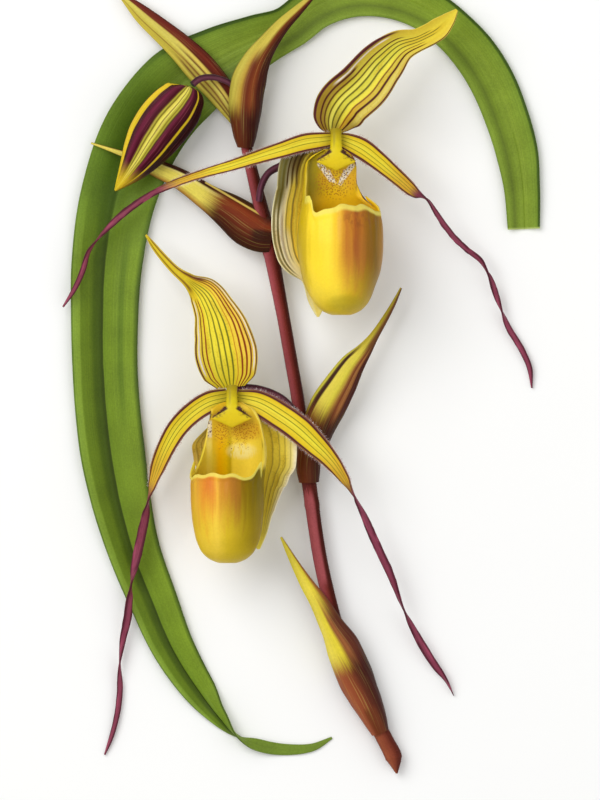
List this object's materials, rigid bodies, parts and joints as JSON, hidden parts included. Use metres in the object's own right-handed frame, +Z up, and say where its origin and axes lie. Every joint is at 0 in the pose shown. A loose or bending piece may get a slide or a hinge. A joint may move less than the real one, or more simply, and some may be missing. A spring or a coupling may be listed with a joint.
{
  "type": "phragmipedium orchid flower stalk with leaf",
  "caption": "Cut slipper orchid stalk lying with a strap leaf: open flowers with hollow pouches and long twisted petal tails, a ribbed bud and folded bracts.",
  "frame": {"origin": "middle of the footprint, on the surface that the stalk and the leaf lie on", "axes": "+Y along the stalk towards its tip, +Z up out of the surface, the way the flowers face, +X to the right seen from above"},
  "size_m": [0.1596, 0.268, 0.0402],
  "materials": {
    "leaf": "waxy green strap leaf with darker channel",
    "stalk": "dull maroon stem, darker along one side",
    "bract": "yellow green bract shading to brown",
    "ovary": "dark purple, finely downy",
    "sepal": "yellow sepal with green and brown veins",
    "petal": "yellow petal with purple brown margins and tail",
    "lip": "glossy yellow pouch flushed orange brown",
    "column": "yellow column with purple hairs",
    "bud": "bud striped yellow and dark purple"
  },
  "bodies": {
    "root": {"leaf": "leaf", "flower_stalk": "stalk", "bract_1": "bract", "bract_2": "bract", "bract_3": "bract", "bract_4": "bract", "bract_5": "bract", "bud_stalk": "ovary", "bud": "bud", "upper_ovary": "ovary", "upper_dorsal_sepal": "sepal", "upper_synsepal": "sepal", "upper_petal_left": "petal", "upper_petal_right": "petal", "upper_lip": "lip", "upper_column": "column", "lower_ovary": "ovary", "lower_dorsal_sepal": "sepal", "lower_synsepal": "sepal", "lower_petal_left": "petal", "lower_petal_right": "petal", "lower_lip": "lip", "lower_column": "column"}
  },
  "joints": []
}
